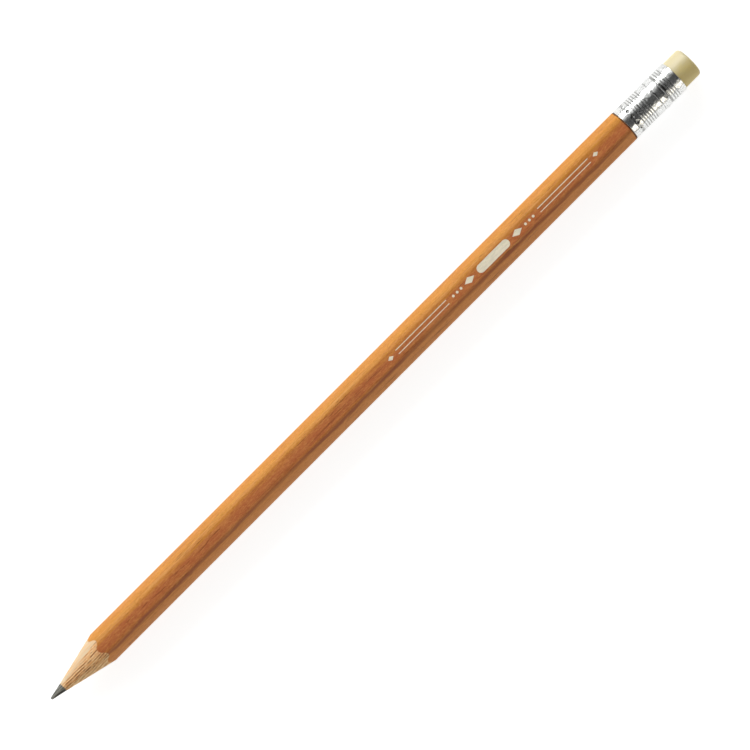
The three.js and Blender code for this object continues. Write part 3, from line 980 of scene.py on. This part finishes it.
class PENCIL_OT_stage(Operator):
    """Sets the floor, the lights and the camera"""

    bl_idname = "pencil.stage"
    bl_label = "Stage"

    def floor(self, stage):
        """A wide sheet of pale paper under the pencil."""
        mesh = bmesh.new()
        bmesh.ops.create_grid(mesh, x_segments=1, y_segments=1, size=stage.floor_size / 2)
        data = bpy.data.meshes.new("floor")
        mesh.to_mesh(data)
        mesh.free()
        data.materials.append(floor_finish(stage))
        floor = bpy.data.objects.new("floor", data)
        bpy.context.scene.collection.objects.link(floor)

    def softbox(self, name, radiance, tint, bearing, distance, elevation, span, long_side, along=0.0):
        """A panel round the pencil, facing it, that fills a span of angles above the floor."""
        data = bpy.data.lights.new(name, "AREA")
        data.shape = "RECTANGLE"
        data.size = long_side
        data.size_y = 2 * distance * math.tan(math.radians(span) / 2)
        data.energy = radiance * math.pi * data.size * data.size_y
        data.color = tint[:3]
        lamp = bpy.data.objects.new(name, data)
        turn = Matrix.Rotation(math.radians(bearing), 3, "Z")
        turn @= Matrix.Rotation(-math.radians(elevation), 3, "Y")
        lamp.location = Vector((along, 0, AXIS_HEIGHT)) + turn.col[0] * distance
        lamp.rotation_euler = turn.col[0].to_track_quat("Z", "Y").to_euler()
        lamp.visible_camera = False
        bpy.context.scene.collection.objects.link(lamp)

    def surroundings(self, stage):
        """A dark room with a bright line round the floor, and a wash of light above the key."""
        world = bpy.data.worlds.new("studio")
        world.use_nodes = True
        room = Nodes(world.node_tree)
        direction = room.node("ShaderNodeTexCoord", {}).outputs["Generated"]
        height = room.along(direction, (0, 0, 1))
        sides = room.step(height, 0.065, 0.085, stage.horizon, stage.ceiling)
        wash = room.step(room.along(direction, (0, 1, 0)), 0.1, 0.85, 0.0, stage.wash)
        sides = room.plus(sides, room.times(wash, room.step(height, 0.1, 0.3)))
        endways = room.math("ABSOLUTE", room.along(direction, (1, 0, 0)))
        strength = room.times(sides, room.step(endways, 0.35, 0.7, 1.0, stage.ends))
        background = world.node_tree.nodes["Background"]
        room.feed(background.inputs["Color"], (1, 1, 1, 1))
        room.feed(background.inputs["Strength"], strength)
        bpy.context.scene.world = world

    def camera(self, stage):
        """Above the point's end, turned so that the pencil runs up to the right."""
        data = bpy.data.cameras.new("camera")
        data.lens = data.sensor_width * stage.camera_distance / stage.frame_width
        data.clip_end = 10 * stage.camera_distance
        camera = bpy.data.objects.new("camera", data)
        turn = Matrix.Rotation(stage.camera_lean, 3, "X")
        turn @= Matrix.Rotation(-stage.camera_tilt, 3, "Y")
        turn @= Matrix.Rotation(-stage.camera_roll, 3, "Z")
        aim = Vector((stage.aim_along, stage.aim_across, AXIS_HEIGHT))
        camera.location = aim + turn.col[2] * stage.camera_distance
        camera.rotation_euler = turn.to_euler()
        bpy.context.scene.collection.objects.link(camera)
        bpy.context.scene.camera = camera

    def execute(self, context):
        stage = context.scene.pencil_stage
        self.floor(stage)
        self.softbox(
            "key", stage.key_radiance, stage.white, bearing=90, distance=0.68, elevation=29.5, span=27,
            long_side=1.5,
        )
        fill = {"tint": stage.warm, "bearing": 270, "distance": 0.8, "long_side": 1.2, "along": -0.25}
        self.softbox("fill", stage.fill_radiance, elevation=25.25, span=26.5, **fill)
        self.softbox("fill_skirt", stage.fill_radiance / 4, elevation=45, span=13, **fill)
        for name, bearing in (("eraser_end", 0), ("point_end", 180)):
            self.softbox(
                name, stage.end_radiance, stage.white, bearing, distance=0.9, elevation=12, span=16,
                long_side=1.2,
            )
        self.surroundings(stage)
        self.camera(stage)
        context.scene.view_settings.view_transform = "Standard"
        return {"FINISHED"}


OPERATORS = (
    PENCIL_OT_stage,
    PENCIL_OT_graphite_core,
    PENCIL_OT_wood_slats,
    PENCIL_OT_varnish_coat,
    PENCIL_OT_foil_stamp,
    PENCIL_OT_ferrule,
    PENCIL_OT_eraser,
)
SETTINGS = {
    "pencil_barrel": BarrelSettings,
    "pencil_stamp": StampSettings,
    "pencil_ferrule": FerruleSettings,
    "pencil_eraser": EraserSettings,
    "pencil_stage": StageSettings,
}


class PENCIL_PT_sidebar(Panel):
    """The pencil's settings and the operators that make its pieces"""

    bl_label = "Pencil"
    bl_idname = "PENCIL_PT_sidebar"
    bl_space_type = "VIEW_3D"
    bl_region_type = "UI"
    bl_category = "Pencil"

    def draw(self, context):
        for operator in OPERATORS:
            self.layout.operator(operator.bl_idname)
        for name, group in SETTINGS.items():
            box = self.layout.box()
            for setting in group.__annotations__:
                box.prop(getattr(context.scene, name), setting)


def register():
    for group in SETTINGS.values():
        bpy.utils.register_class(group)
    for name, group in SETTINGS.items():
        setattr(bpy.types.Scene, name, PointerProperty(type=group))
    for made in (*OPERATORS, PENCIL_PT_sidebar):
        bpy.utils.register_class(made)


def unregister():
    for made in reversed((*OPERATORS, PENCIL_PT_sidebar)):
        bpy.utils.unregister_class(made)
    for name in SETTINGS:
        delattr(bpy.types.Scene, name)
    for group in SETTINGS.values():
        bpy.utils.unregister_class(group)


def main():
    register()
    bpy.ops.pencil.stage()
    bpy.ops.pencil.graphite_core()
    bpy.ops.pencil.wood_slats()
    bpy.ops.pencil.varnish_coat()
    bpy.ops.pencil.foil_stamp()
    bpy.ops.pencil.ferrule()
    bpy.ops.pencil.eraser()


if __name__ == "__main__":
    main()
